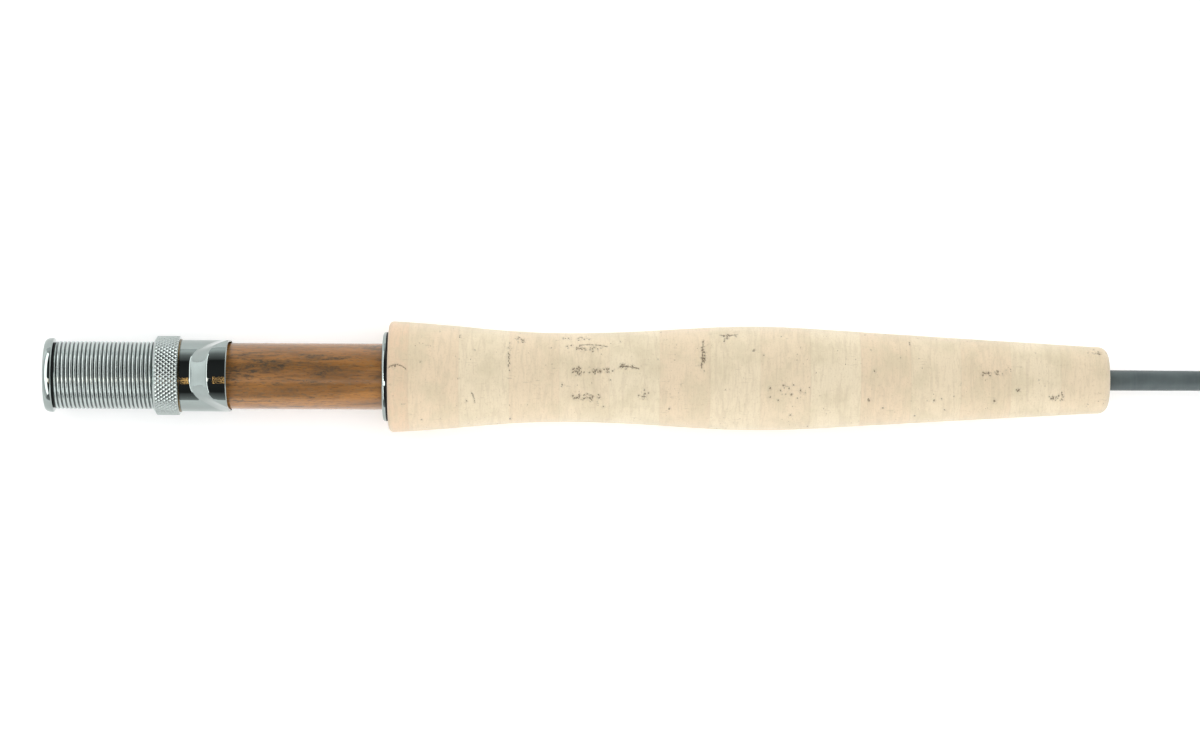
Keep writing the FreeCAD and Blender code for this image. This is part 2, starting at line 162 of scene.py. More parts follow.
class Paint:
    """A material's nodes. An input is a plain value or another node's output."""

    def __init__(self, name):
        self.material = bpy.data.materials.new(name)
        self.material.use_nodes = True
        self.tree = self.material.node_tree
        self.shader = self.tree.nodes["Principled BSDF"]
        self.place = self.add("ShaderNodeTexCoord").outputs["Object"]

    def join(self, value, socket):
        """Set a socket, or link it to an output."""
        if isinstance(value, bpy.types.NodeSocket):
            self.tree.links.new(value, socket)
        else:
            socket.default_value = value

    def add(self, kind, settings=None, **inputs):
        """Add a node. An underscore in an input's name stands for a space."""
        node = self.tree.nodes.new(kind)
        for name, value in (settings or {}).items():
            setattr(node, name, value)
        for name, value in inputs.items():
            self.join(value, node.inputs[name.replace("_", " ")])
        return node

    def maths(self, operation, first, second):
        """Arithmetic on two values."""
        node = self.add("ShaderNodeMath", {"operation": operation})
        self.join(first, node.inputs[0])
        self.join(second, node.inputs[1])
        return node.outputs[0]

    def stretched(self, along, across):
        """The place on the object, scaled along the rod and across it."""
        node = self.add("ShaderNodeVectorMath", {"operation": "MULTIPLY"})
        self.join(self.place, node.inputs[0])
        self.join((along, across, across), node.inputs[1])
        return node.outputs[0]

    def noise(self, along, across, detail=3.0, roughness=0.55, distortion=0.0):
        """Cloudy noise, with so many features in a metre along the rod and across it."""
        node = self.add(
            "ShaderNodeTexNoise",
            Vector=self.stretched(along, across),
            Scale=1.0,
            Detail=detail,
            Roughness=roughness,
            Distortion=distortion,
        )
        return node.outputs["Fac"]

    def spots(self, along, across, size):
        """Scattered round spots, 1 inside and 0 outside, of a size from 0 to 1 of their spacing."""
        cells = self.add("ShaderNodeTexVoronoi", Vector=self.stretched(along, across), Scale=1.0)
        return self.fade(cells.outputs["Distance"], size, size * SPOT_CORE)

    def fade(self, value, low, high, start=0.0, end=1.0):
        """Go smoothly from start to end as a value goes from low to high."""
        node = self.add("ShaderNodeMapRange", {"interpolation_type": "SMOOTHSTEP"})
        for place, setting in enumerate((value, low, high, start, end)):
            self.join(setting, node.inputs[place])
        return node.outputs[0]

    def mark(self, name):
        """A value kept on the mesh's points."""
        return self.add("ShaderNodeAttribute", {"attribute_name": name}).outputs["Fac"]

    def mix(self, amount, first, second):
        """Mix two colours."""
        node = self.add("ShaderNodeMix", {"data_type": "RGBA"})
        for place, setting in ((0, amount), (6, first), (7, second)):
            self.join(setting, node.inputs[place])
        return node.outputs[2]

    def layered(self, base, *layers):
        """Lay colours over a base in turn, each given as how much of it shows and the colour."""
        for amount, tint in layers:
            base = self.mix(amount, base, tint)
        return base

    def bump(self, height, depth):
        """Raise the surface by a height, times a depth in metres."""
        return self.add("ShaderNodeBump", Height=height, Distance=depth).outputs[0]

    def finish(self, **inputs):
        """Set the shader's inputs, and give back the material."""
        for name, value in inputs.items():
            self.join(value, self.shader.inputs[name.replace("_", " ")])
        return self.material


def colour(red, green, blue):
    """An opaque colour from linear red, green and blue."""
    return (red, green, blue, 1.0)


# The metals, and how wear changes them.
CHROME_PALE = colour(0.355, 0.405, 0.392)
CHROME_DULL = colour(0.330, 0.375, 0.362)
KNURL_PALE = colour(0.44, 0.49, 0.475)
KNURL_DULL = colour(0.40, 0.445, 0.43)
THREAD_PALE = colour(0.54, 0.60, 0.585)
THREAD_DULL = colour(0.49, 0.545, 0.53)
BRASS_PALE = colour(0.24, 0.18, 0.09)
BRASS_DULL = colour(0.15, 0.11, 0.055)
STEEL_PALE = colour(0.34, 0.35, 0.36)
STEEL_DULL = colour(0.24, 0.25, 0.26)
# Painted shade for the thread's roots, and the roughness it adds there.
PAINTED_ROOT_SHADE = colour(0.045, 0.050, 0.052)
ROOT_SHADE_ROUGHNESS = 0.12
WORN_ROUGHNESS = 1.3
HAIR_DEPTH = 0.8
HAIR_ROUGHNESS = 0.08

# The other materials' layers of colour.
RUBBER_BLACK = colour(0.008, 0.008, 0.009)
RUBBER_BLOOM = colour(0.025, 0.024, 0.023)

WALNUT_BROWN = colour(0.250, 0.100, 0.015)
WALNUT_GOLD = colour(0.440, 0.186, 0.036)
WALNUT_GREY = colour(0.190, 0.130, 0.058)
WALNUT_STREAK = colour(0.105, 0.050, 0.014)
WALNUT_VEIN = colour(0.072, 0.048, 0.022)
WALNUT_PORE = colour(0.036, 0.019, 0.009)

CORK_ROSY = colour(0.785, 0.590, 0.405)
CORK_CREAM = colour(0.830, 0.724, 0.525)
CORK_OLIVE = colour(0.675, 0.580, 0.395)
CORK_GROWTH = colour(0.635, 0.520, 0.360)
CORK_LINE = colour(0.590, 0.470, 0.310)
CORK_GRAIN = colour(0.540, 0.415, 0.265)
CORK_SCRATCH = colour(0.450, 0.350, 0.230)
CORK_FLECK = colour(0.330, 0.235, 0.145)
CORK_GLUE = colour(0.450, 0.330, 0.210)
CORK_STAIN = colour(0.330, 0.260, 0.175)
CORK_PIT = colour(0.120, 0.082, 0.048)

PRESSED_DARK = colour(0.16, 0.085, 0.04)
PRESSED_PALE = colour(0.42, 0.26, 0.14)

COAT_PALE = colour(0.092, 0.122, 0.123)
COAT_DARK = colour(0.062, 0.084, 0.086)
GRAPHITE_PALE = colour(0.060, 0.062, 0.064)
GRAPHITE_DARK = colour(0.030, 0.031, 0.033)


def polished(name, pale, dull, rough, marks_depth, recess=0.0):
    """Bright metal with faint lathe marks, clouds and hair scratches. Recesses may get painted
    shade: a darker colour and more roughness.
    """
    paint = Paint(name)
    clouds = paint.noise(180, 180, detail=4.0)
    turning = paint.noise(9000, 25, detail=2.0)
    hairs = paint.fade(paint.noise(500, 5200, detail=1.0, distortion=0.6), 0.66, 0.72)
    tint = paint.mix(paint.fade(clouds, 0.35, 0.7), pale, dull)
    worn = paint.fade(clouds, 0.3, 0.75, rough, rough * WORN_ROUGHNESS)
    # Painted shade in the recesses: a darker colour, and more roughness.
    if recess:
        root_shade = paint.maths("MULTIPLY", paint.mark("recess"), recess)
        tint = paint.mix(root_shade, tint, PAINTED_ROOT_SHADE)
        worn = paint.maths("ADD", worn, paint.maths("MULTIPLY", root_shade, ROOT_SHADE_ROUGHNESS))
    height = paint.maths("ADD", turning, paint.maths("MULTIPLY", hairs, -HAIR_DEPTH))
    return paint.finish(
        Base_Color=tint,
        Metallic=1.0,
        Roughness=paint.maths("ADD", worn, paint.maths("MULTIPLY", hairs, HAIR_ROUGHNESS)),
        Normal=paint.bump(height, marks_depth),
    )


def rubber(name):
    """Black rubber for the butt seal and hood gasket, black rings that are painted shade in dark
    gaps. It has a dusty bloom and a slight moulded texture.
    """
    paint = Paint(name)
    bloom = paint.noise(600, 600, detail=4.0)
    return paint.finish(
        Base_Color=paint.mix(paint.fade(bloom, 0.4, 0.75), RUBBER_BLACK, RUBBER_BLOOM),
        Roughness=paint.fade(bloom, 0.3, 0.8, 0.42, 0.66),
        Specular_IOR_Level=0.15,
        Normal=paint.bump(paint.noise(5000, 5000), 0.00002),
    )


def walnut():
    """Varnished walnut: smoky lengthwise veins, grey mottling, short pores, a satin coat."""
    paint = Paint("walnut")
    wisps = paint.noise(60, 360, detail=6.0, roughness=0.67, distortion=1.4)
    patches = paint.noise(70, 150, detail=2.0)
    bands = paint.noise(22, 190, detail=4.0, roughness=0.6, distortion=1.0)
    streaks = paint.noise(150, 1300, detail=4.0, roughness=0.65, distortion=0.5)
    mottle = paint.noise(700, 1700, detail=4.0, roughness=0.75)
    pores = paint.fade(paint.noise(620, 4200, detail=1.5), 0.60, 0.70)
    in_patches = paint.fade(patches, 0.34, 0.55, 0.15, 1.0)
    figure = paint.maths("MULTIPLY", paint.fade(wisps, 0.46, 0.61), in_patches)
    veins = paint.maths("MULTIPLY", figure, paint.fade(mottle, 0.36, 0.60, 0.25, 1.0))
    tint = paint.layered(
        WALNUT_BROWN,
        (paint.fade(bands, 0.34, 0.66), WALNUT_GOLD),
        (paint.fade(mottle, 0.48, 0.70, 0.0, 0.60), WALNUT_GREY),
        (paint.fade(streaks, 0.46, 0.70, 0.0, 0.50), WALNUT_STREAK),
        (veins, WALNUT_VEIN),
        (paint.maths("MULTIPLY", pores, 0.6), WALNUT_PORE),
    )
    height = paint.maths("SUBTRACT", paint.maths("MULTIPLY", streaks, 0.3), pores)
    return paint.finish(
        Base_Color=tint,
        Roughness=paint.fade(streaks, 0.3, 0.7, 0.34, 0.50),
        Specular_IOR_Level=0.2,
        Coat_Weight=1.0,
        Coat_IOR=1.55,
        Coat_Roughness=0.22,
        Normal=paint.bump(height, 0.00002),
    )


def cork(name):
    """Sanded cork: a tone for each ring, greyish patches, growth lines, flecks and dark pits."""
    paint = Paint(name)
    clouds = paint.noise(120, 100, detail=5.0, roughness=0.6)
    growth = paint.noise(520, 70, detail=3.0, distortion=1.6)
    lines = paint.noise(3600, 330, detail=3.0, roughness=0.6)
    grains = paint.noise(2100, 1700, detail=4.0, roughness=0.7)
    scratches = paint.fade(paint.noise(260, 2600, detail=2.0, distortion=0.8), 0.62, 0.70)
    scarce = paint.fade(paint.noise(210, 210, detail=2.0), 0.52, 0.66)
    fleck = paint.maths("MULTIPLY", paint.spots(1100, 640, 0.17), scarce)
    scratch = paint.maths("MULTIPLY", scratches, scarce)
    stain_amount = paint.fade(grains, 0.40, 0.62, 0.12, 0.75)
    tint = paint.layered(
        CORK_ROSY,
        (paint.mark("tone"), CORK_CREAM),
        (paint.fade(clouds, 0.42, 0.66, 0.0, 0.60), CORK_OLIVE),
        (paint.fade(growth, 0.50, 0.64, 0.0, 0.32), CORK_GROWTH),
        (paint.fade(lines, 0.45, 0.72, 0.0, 0.24), CORK_LINE),
        (paint.fade(grains, 0.50, 0.74, 0.0, 0.40), CORK_GRAIN),
        (paint.maths("MULTIPLY", scratch, 0.45), CORK_SCRATCH),
        (paint.maths("MULTIPLY", fleck, 0.75), CORK_FLECK),
        (paint.maths("MULTIPLY", paint.mark("seam"), 0.10), CORK_GLUE),
        (paint.maths("MULTIPLY", paint.mark("stain"), stain_amount), CORK_STAIN),
        (paint.fade(paint.mark("pit"), 0.05, 0.80, 0.0, 0.84), CORK_PIT),
    )
    height = paint.maths("SUBTRACT", paint.maths("ADD", grains, lines), fleck)
    return paint.finish(
        Base_Color=tint,
        Roughness=paint.fade(grains, 0.3, 0.7, 0.62, 0.80),
        Specular_IOR_Level=0.28,
        Sheen_Weight=0.35,
        Sheen_Roughness=0.5,
        Normal=paint.bump(height, 0.00003),
    )


def pressed_cork():
    """Dark agglomerated cork of the hidden bushings."""
    paint = Paint("pressed_cork")
    grains = paint.add("ShaderNodeTexVoronoi", Vector=paint.place, Scale=1100.0)
    from_middle = grains.outputs["Distance"]
    return paint.finish(
        Base_Color=paint.mix(grains.outputs["Color"], PRESSED_DARK, PRESSED_PALE),
        Roughness=paint.fade(from_middle, 0.0, 0.6, 0.85, 0.65),
        Normal=paint.bump(from_middle, 0.00008),
    )


def graphite(name, pale, dark):
    """Rolled graphite under a thin matt coat: slate grey with faint wrap lines and fine grain."""
    paint = Paint(name)
    wraps = paint.noise(1500, 90, detail=3.0)
    grain = paint.noise(4200, 4200, detail=3.0, roughness=0.7)
    clouds = paint.noise(120, 160, detail=3.0)
    tint = paint.layered(
        dark,
        (paint.fade(clouds, 0.35, 0.7), pale),
        (paint.fade(wraps, 0.4, 0.75, 0.0, 0.45), pale),
        (paint.fade(grain, 0.55, 0.75, 0.0, 0.35), dark),
    )
    return paint.finish(
        Base_Color=tint,
        Roughness=paint.fade(grain, 0.3, 0.7, 0.36, 0.52),
        Specular_IOR_Level=0.6,
        Normal=paint.bump(paint.maths("ADD", wraps, grain), 0.00001),
    )


chrome = polished("polished_chrome", CHROME_PALE, CHROME_DULL, 0.032, 0.0000002)
knurl_chrome = polished("knurl_chrome", KNURL_PALE, KNURL_DULL, 0.10, 0.000001)
# The thread's roots get painted shade.
thread_chrome = polished("thread_chrome", THREAD_PALE, THREAD_DULL, 0.16, 0.000001, recess=0.75)
brass = polished("brass", BRASS_PALE, BRASS_DULL, 0.20, 0.000002)
spring_steel = polished("spring_steel", STEEL_PALE, STEEL_DULL, 0.22, 0.000002)
painted_shade_rubber = rubber("painted_shade_rubber")
wood = walnut()
cork_skin = cork("sanded_cork")
bushing_cork = pressed_cork()
blank_skin = graphite("graphite_coat", COAT_PALE, COAT_DARK)
spigot_skin = graphite("ground_graphite", GRAPHITE_PALE, GRAPHITE_DARK)


# ---------------------------------------------------------------- butt cap and barrel

CAP_RIM = 2.25
CAP_EDGE = 0.85
CAP_EDGE_LENGTH = 1.85
CAP_EDGE_POINTS = 20
CAP_BACK_EDGE = 0.4
CAP_FACE_MIDDLE = 2.0
CAP_FACE_MARGIN = 2.5
CAP_NECK = 7.95
CAP_PLUG = 7.1
CAP_PLUG_EDGE = 0.4
CAP_POCKET = 3.7
CAP_POCKET_FLOOR = 3.0

THREAD_PITCH = 25.4 / 24
THREAD_START = 2.1708
BARREL_BORE = 7.1
BARREL_CHAMFER = 0.35
BARREL_COLUMNS = 160
# Thread groove: distance from its centre, and depth below the worn, rounded crest.
GROOVE = {
    0.0: 0.43, 0.09: 0.42, 0.13: 0.33, 0.18: 0.20, 0.23: 0.12,
    0.29: 0.06, 0.35: 0.025, 0.41: 0.006, 0.53: 0.0,
}
# The depth at which the groove's painted shade starts, and how much deeper it is full.
RECESS_START = 0.12
RECESS_DEPTH = 0.24


def make_butt_cap():
    """The turned button: rounded rim, neck for the seal, plug with a pocket for the blank."""
    radius = reach("butt_cap")
    plug_end = span("butt_cap")[1]
    neck_end = span("threaded_barrel")[0]
    face = radius - CAP_EDGE
    outline = [(0, 0), (0, CAP_FACE_MIDDLE), (0, face - CAP_FACE_MARGIN)]
    for angle in np.radians(np.linspace(180, 90, CAP_EDGE_POINTS)):
        into = CAP_EDGE_LENGTH * (1 + math.cos(angle))
        outline.append((into, radius - CAP_EDGE * (1 - math.sin(angle))))
    outline += front_edge(CAP_RIM, radius, CAP_BACK_EDGE)
    outline += [(CAP_RIM, CAP_NECK), (neck_end, CAP_NECK), (neck_end, CAP_PLUG)]
    outline += front_edge(plug_end, CAP_PLUG, CAP_PLUG_EDGE)
    outline += [(plug_end, CAP_POCKET), (CAP_POCKET_FLOOR, CAP_POCKET), (CAP_POCKET_FLOOR, 0)]
    piece = lathe("turned_butt_cap", outline, chrome, closed=False)
    return stand_for(piece, "butt_cap", "handle")


def from_groove(stations, angles):
    """Distance along the rod from each place to the nearest thread groove's centre."""
    groove = THREAD_START + THREAD_PITCH * angles / TURN
    return np.abs((stations - groove + THREAD_PITCH / 2) % THREAD_PITCH - THREAD_PITCH / 2)


def groove_depth(distances):
    """The thread groove's depth at distances from its centre."""
    return np.interp(distances, list(GROOVE), list(GROOVE.values()))


def thread_rows(start, end, angles):
    """Stations in rows along the thread, held between two ends, and each row's match a turn on."""
    steps = sorted({-s for s in GROOVE} | set(GROOVE))[1:]
    first = math.floor((start - THREAD_START) / THREAD_PITCH) - 1
    turns = range(first, math.ceil((end - THREAD_START) / THREAD_PITCH) + 1)
    rows = np.array([THREAD_START + n * THREAD_PITCH + s for n in turns for s in steps])
    stations = rows[:, None] + THREAD_PITCH * angles[None, :] / TURN
    seam = np.minimum(np.arange(len(rows)) + len(steps), len(rows) - 1)
    return np.clip(stations, start, end), seam


def make_threaded_barrel():
    """The tube with its long outside thread, of one true helix."""
    start, end = span("threaded_barrel")
    crest = reach("threaded_barrel")
    angles = around(BARREL_COLUMNS)
    stations, seam = thread_rows(start, end, angles)
    depth = groove_depth(from_groove(stations, angles[None, :]))
    lead = np.minimum(stations - start, end - stations)
    radii = np.minimum(crest - depth, crest - BARREL_CHAMFER + lead)
    inside = wrapped([[end], [end], [start], [start]], BARREL_BORE, angles[None, :])
    points = np.concatenate([wrapped(stations, radii, angles[None, :]), inside])
    # How deep in the groove each point lies, from 0 to 1, for the painted shade in the roots.
    recess = np.clip((depth - RECESS_START) / RECESS_DEPTH, 0, 1)
    marks = {"recess": np.concatenate([recess, np.zeros(inside.shape[:2])])}
    seam = np.concatenate([seam, np.arange(len(seam), len(points))])
    piece = skin("threaded_tube", points, thread_chrome, seam=seam, sharp=50, marks=marks)
    return stand_for(piece, "threaded_barrel", "handle")


# ---------------------------------------------------------------- lock nut

KNURLS = 56
KNURL_PITCH = 1.42
KNURL_GROOVE = 0.22
KNURL_DEPTH = 0.16
KNURL_STEPS = 14
KNURL_MARGIN = 0.05
KNURL_RUNOUT = 0.12
NUT_BACK_CHAMFER = 0.6
NUT_CHAMFER_ROWS = 6
NUT_BACK_LIP = 0.05
NUT_FRONT_CHAMFER = 0.2
NUT_THREAD_END = 31.5
NUT_COUNTERBORE = 9.32
NUT_CREST_GAP = 0.08
NUT_FLANK_GAP = 0.07
NUT_LEAD_LENGTH = 0.3
NUT_LEAD_DEPTH = 0.15
# The snap ring's groove in the counterbore: first station, last station and radius.
NUT_GROOVE = (32.0, 32.5, 9.52)


def knurl(stations, angles):
    """Depth of the diamond knurl: 0 on a tip and 1 at the bottom of a groove."""
    depth = 0
    for lean in (1, -1):
        phase = (KNURLS * angles / TURN + lean * stations / KNURL_PITCH) % 1
        depth = np.maximum(depth, 1 - np.abs(phase - 0.5) / KNURL_GROOVE)
    return np.clip(depth, 0, 1)


def nut_outside(start, end, angles):
    """The nut's chamfered and knurled outside."""
    radius = reach("lock_nut")
    step = KNURL_PITCH / KNURL_STEPS
    stations = np.concatenate([
        [start],
        np.linspace(start + NUT_BACK_LIP, start + NUT_BACK_CHAMFER, NUT_CHAMFER_ROWS),
        np.arange(start + NUT_BACK_CHAMFER + step, end - NUT_FRONT_CHAMFER, step),
        [end - NUT_FRONT_CHAMFER, end],
    ])[:, None]
    plain = np.minimum(radius, radius - NUT_BACK_CHAMFER + stations - start)
    plain = np.minimum(plain, radius - NUT_FRONT_CHAMFER + end - stations)
    edge = np.minimum(stations - start, end - stations)
    fading = np.clip((edge - KNURL_MARGIN) / KNURL_RUNOUT, 0, 1)
    cut = KNURL_DEPTH * knurl(stations, angles[None, :]) * fading
    return wrapped(stations, np.minimum(plain, radius - cut), angles[None, :])


def nut_counterbore(end, angles):
    """The smooth bore for the hood's skirt, with the snap ring's groove."""
    groove_start, groove_end, groove_radius = NUT_GROOVE
    bore = np.array([
        (end, NUT_COUNTERBORE),
        (groove_end, NUT_COUNTERBORE),
        (groove_end, groove_radius),
        (groove_start, groove_radius),
        (groove_start, NUT_COUNTERBORE),
        (NUT_THREAD_END, NUT_COUNTERBORE),
    ])
    return wrapped(bore[:, :1], bore[:, 1:], angles[None, :])


def nut_thread(start, angles):
    """The nut's inside thread with its lead-in, and each row's match a turn on."""
    crest = reach("threaded_barrel") + NUT_CREST_GAP
    stations, seam = thread_rows(start, NUT_THREAD_END, angles)
    depth = groove_depth(from_groove(stations, angles[None, :]) + NUT_FLANK_GAP)
    lead = crest + np.minimum(NUT_LEAD_DEPTH, NUT_LEAD_LENGTH + start - stations)
    radii = np.maximum(crest - depth, lead)
    return wrapped(stations, radii, angles[None, :])[::-1], (len(seam) - 1 - seam)[::-1]


def make_lock_nut():
    """The knurled nut, threaded to match the barrel, with a counterbore for the hood's skirt."""
    start, end = span("lock_nut")
    angles = around(KNURLS * KNURL_STEPS)
    smooth = np.concatenate([nut_outside(start, end, angles), nut_counterbore(end, angles)])
    thread, thread_seam = nut_thread(start, angles)
    points = np.concatenate([smooth, thread])
    seam = np.concatenate([np.arange(len(smooth)), len(smooth) + thread_seam])
    piece = skin("knurled_lock_nut", points, knurl_chrome, seam=seam, sharp=55)
    return stand_for(piece, "lock_nut", "lock_nut")


# ---------------------------------------------------------------- sliding hood

SKIRT_END = 34.75
HOOD_RADIUS = 9.19
SKIRT_RADIUS = 9.1
HOOD_BORE = 8.81
HOOD_WALL = 0.55
HOOD_COLUMNS = 432
SHOULDER = 0.1
SKIRT_LAST_ROW = 0.12
BULGE_RADIUS = 9.45
BULGE_CENTRE = 3.4
MOUTH_BEVEL = 0.22
MOUTH_LEAN = 0.12
# The ramp's outer and inner edges: angle from the top in degrees, and station.
RAMP_FOOT = {
    0: 37.5, 22: 37.5, 30: 37.9, 38.5: 38.8, 46: 39.9, 56: 41.9, 65: 43.2, 74: 44.4, 90: 46.6,
}
RAMP_TOP = {
    0: 41.9, 19: 41.95, 28: 42.5, 37.5: 43.35, 41: 44.5, 44.5: 46.4, 56: 48.5, 74: 50.5, 90: 52.0,
}
# How many columns a corner of those edges is smoothed over, how soft the ramp's own two corners
# are as a share of its length, and how far the inside of the ramp lags behind the outside.
EDGE_BLEND = 45
RAMP_SOFT = 0.055
INNER_LAG = 0.5


def eased(share):
    """A ramp from 0 to 1 whose two corners are rounded."""
    low = (share + RAMP_SOFT) ** 2 / (4 * RAMP_SOFT)
    high = 1 - (1 + RAMP_SOFT - share) ** 2 / (4 * RAMP_SOFT)
    middle = np.where(share > 1 - RAMP_SOFT, high, np.where(share < RAMP_SOFT, low, share))
    return np.where(share < -RAMP_SOFT, 0, np.where(share > 1 + RAMP_SOFT, 1, middle))


def ramp_edge(edge, from_top):
    """The station of one of the ramp's edges in each column, with its corners smoothed."""
    stations = np.interp(from_top, list(edge), list(edge.values()))
    kernel = np.hanning(EDGE_BLEND) / np.hanning(EDGE_BLEND).sum()
    smoothed = np.convolve(np.tile(stations, 3), kernel, "same")
    return smoothed[HOOD_COLUMNS:2 * HOOD_COLUMNS]


def hood_rows(start, mouth, foot, top):
    """Rows of stations from the skirt's end to near the mouth, close together at the bends."""
    soft_length = RAMP_SOFT * (top - foot)
    corner = np.linspace(-RAMP_SOFT, RAMP_SOFT, 5)
    skirt = (start, SKIRT_END - SKIRT_LAST_ROW, SKIRT_END, SKIRT_END + SHOULDER)
    rows = [np.full(HOOD_COLUMNS, s) for s in skirt]
    rows += [SKIRT_END + SHOULDER + (foot - soft_length - SKIRT_END) * s for s in (0.3, 0.6, 0.9)]
    rows += [foot + (top - foot) * s for s in (*corner, 0.3, 0.5, 0.7, *(1 + corner))]
    rows += [top + soft_length + (mouth - top) * s for s in (0.3, 0.65)]
    return np.array(rows)


def make_sliding_hood():
    """A thin pressed sleeve whose top swells into a housing for the reel's foot."""
    start, mouth = span("sliding_hood")
    angles = around(HOOD_COLUMNS)
    from_top = np.abs((np.degrees(angles) + 90) % 360 - 180)
    slope = np.cos(np.radians(from_top))
    side = np.sin(np.radians(from_top))
    circle = BULGE_CENTRE * slope + np.sqrt(BULGE_RADIUS ** 2 - (BULGE_CENTRE * side) ** 2)
    rise = np.maximum(circle - HOOD_RADIUS, 0)
    foot = ramp_edge(RAMP_FOOT, from_top)
    top = ramp_edge(RAMP_TOP, from_top)

    rows = hood_rows(start, mouth, foot, top)
    mouth = mouth - MOUTH_LEAN * rise
    bevel_start = mouth - MOUTH_BEVEL
    stations = np.concatenate([np.minimum(rows, bevel_start), [bevel_start, mouth]])
    on_shoulder = SHOULDER * (stations < SKIRT_END + SHOULDER)
    sleeve = np.where(stations < SKIRT_END, SKIRT_RADIUS, HOOD_RADIUS - on_shoulder)
    bevel = np.clip(stations - mouth + MOUTH_BEVEL, 0, MOUTH_BEVEL)
    outer = sleeve + rise * eased((stations - foot) / (top - foot)) - bevel
    inner_rise = rise * eased((stations - foot - INNER_LAG) / (top - foot))
    inner = np.maximum(HOOD_BORE, HOOD_RADIUS + inner_rise - HOOD_WALL)
    outside = wrapped(stations, outer, angles[None, :])
    inside = wrapped(stations, inner, angles[None, :])[::-1]
    piece = skin("hood_shell", np.concatenate([outside, inside]), chrome, sharp=38)
    return stand_for(piece, "sliding_hood", "sliding_hood")


# ---------------------------------------------------------------- wood insert and blank

INSERT_BORE = 5.2
INSERT_ROWS = 24
INSERT_END_EDGE = 0.2
SHOULDER_EDGE = 0.3
TENON_RADIUS = 7.05
TENON_EDGE = 0.3

BLANK_TAPER = 1.08
BLANK_WALL = 0.75
BLANK_EDGE = 0.35
BLANK_ROWS = 60
BLANK_COLUMNS = 144


def make_wood_insert():
    """The turned walnut insert: a spacer under the reel's foot, with a tenon in the barrel."""
    start, end = span("wood_insert")
    shoulder = span("threaded_barrel")[1]
    radius = reach("wood_insert")
    outline = [(start, INSERT_BORE), (start, TENON_RADIUS - TENON_EDGE)]
    outline += [(start + TENON_EDGE, TENON_RADIUS), (shoulder, TENON_RADIUS)]
    outline += [(shoulder, radius - SHOULDER_EDGE), (shoulder + SHOULDER_EDGE, radius)]
    outline += [(s, radius) for s in np.linspace(shoulder + 2, end - 1, INSERT_ROWS)]
    outline += [(end - INSERT_END_EDGE, radius), (end, radius - INSERT_END_EDGE)]
    outline += [(end, INSERT_BORE)]
    piece = lathe("walnut_insert", outline, wood)
    return stand_for(piece, "wood_insert", "handle")


def make_blank():
    """The tapered graphite tube, with a rounded end at the joint."""
    start, end = span("blank")
    butt_radius = reach("blank")
    tip_radius = butt_radius - BLANK_TAPER
    taper = (tip_radius - butt_radius) / (end - start)
    stations = np.linspace(start, end - BLANK_EDGE - 0.05, BLANK_ROWS)
    outline = [(s, butt_radius + taper * (s - start)) for s in stations]
    outline += front_edge(end, tip_radius, BLANK_EDGE)
    outline += [(end, tip_radius - BLANK_WALL), (start, butt_radius - BLANK_WALL)]
    piece = lathe("graphite_blank", outline, blank_skin, columns=BLANK_COLUMNS)
    return stand_for(piece, "blank", "handle")


# ---------------------------------------------------------------- cork grip

CORK_RINGS = [f"cork_ring_{n:02d}" for n in range(1, 16)]
GRID = 0.17
BUTT_ROUND = 1.2
FRONT_ROUND = 2.6
END_ROWS = 12
CUP_RECESS = 10.95
CUP_RECESS_END = 99.16
BORE_GAP = 0.03
# Fitting the grip's form: how close to the outermost point beside it a point on the outside is,
# its least radius, how much of a rounded end is left out, how far a point may be from a rough
# fit, and the degrees of the two fits.
OUTER_TOLERANCE = 0.02
LEAST_RADIUS = 6
END_SHARE = 0.3
FIT_TOLERANCE = 0.15
ROUGH_DEGREE = 9
FORM_DEGREE = 14

SEED = 15
PITS_PER_MM = 0.7
PIT_LEAST = 0.09
PIT_SPREAD = 0.19
PIT_RARITY = 2.5
WORN_SIZES = (0.08, 0.23)
CRACK_SIZES = (0.07, 0.12)
CRACK_PITS_PER_MM = 8
CRACK_WANDER = 0.03
STEEPEST = 0.97
PIT_DEPTH = 0.16
PIT_SHAPE = 1.3
SEAM_HALF = 0.22
SEAM_DEPTH = 0.012
WAVE_HEIGHT = 0.02
WAVES_PER_MM = 0.55
# Each ring's paleness from butt to tip, from 0, tan, to 1, cream.
RING_TONES = [
    0.0, 0.45, 0.85, 0.55, 0.75, 0.95, 0.5, 0.85, 0.6, 0.9, 0.45, 0.75, 0.5, 0.85, 0.6,
]
# Worn places: station, height across the grip, spread along, spread across, and how many pits.
WORN = [
    (105.6, 8.5, 0.2, 1.2, 4), (118.2, 3.5, 0.2, 2.8, 18), (121.0, 8.8, 1.6, 0.8, 14),
    (135.0, 9.6, 3.0, 0.5, 18), (137.5, 6.6, 4.0, 0.6, 24), (135.5, 0.9, 1.0, 0.9, 26),
    (140.5, 0.7, 3.6, 0.5, 34), (138.0, -5.8, 4.0, 0.8, 44), (148.0, 2.2, 2.0, 0.5, 14),
    (152.5, -5.2, 1.6, 0.9, 16), (167.2, 5.0, 0.5, 2.6, 22), (173.5, 10.0, 2.5, 1.0, 18),
    (180.0, 6.2, 0.3, 0.3, 4), (189.0, -4.0, 4.0, 1.6, 18), (209.0, -6.2, 0.4, 0.4, 4),
    (219.8, 8.6, 0.4, 0.4, 4), (240.5, 1.0, 3.2, 0.8, 20), (246.8, -3.3, 0.4, 0.4, 4),
    (257.0, -5.0, 2.6, 0.8, 20), (267.0, 6.6, 2.0, 0.6, 12),
]
# Hair cracks: first station and height, last station and height, and how far the middle bows.
CRACKS = [
    (87.9, 1.2, 92.3, 0.9, 0.9), (146.5, 2.0, 151.0, 1.4, 0.2), (167.3, 9.0, 166.8, 1.5, 0.5),
    (171.5, 10.4, 176.0, 10.6, -0.2), (108.8, -5.0, 109.6, -7.2, 0.6),
    (136.0, 7.6, 143.0, 7.2, 0.3),
]


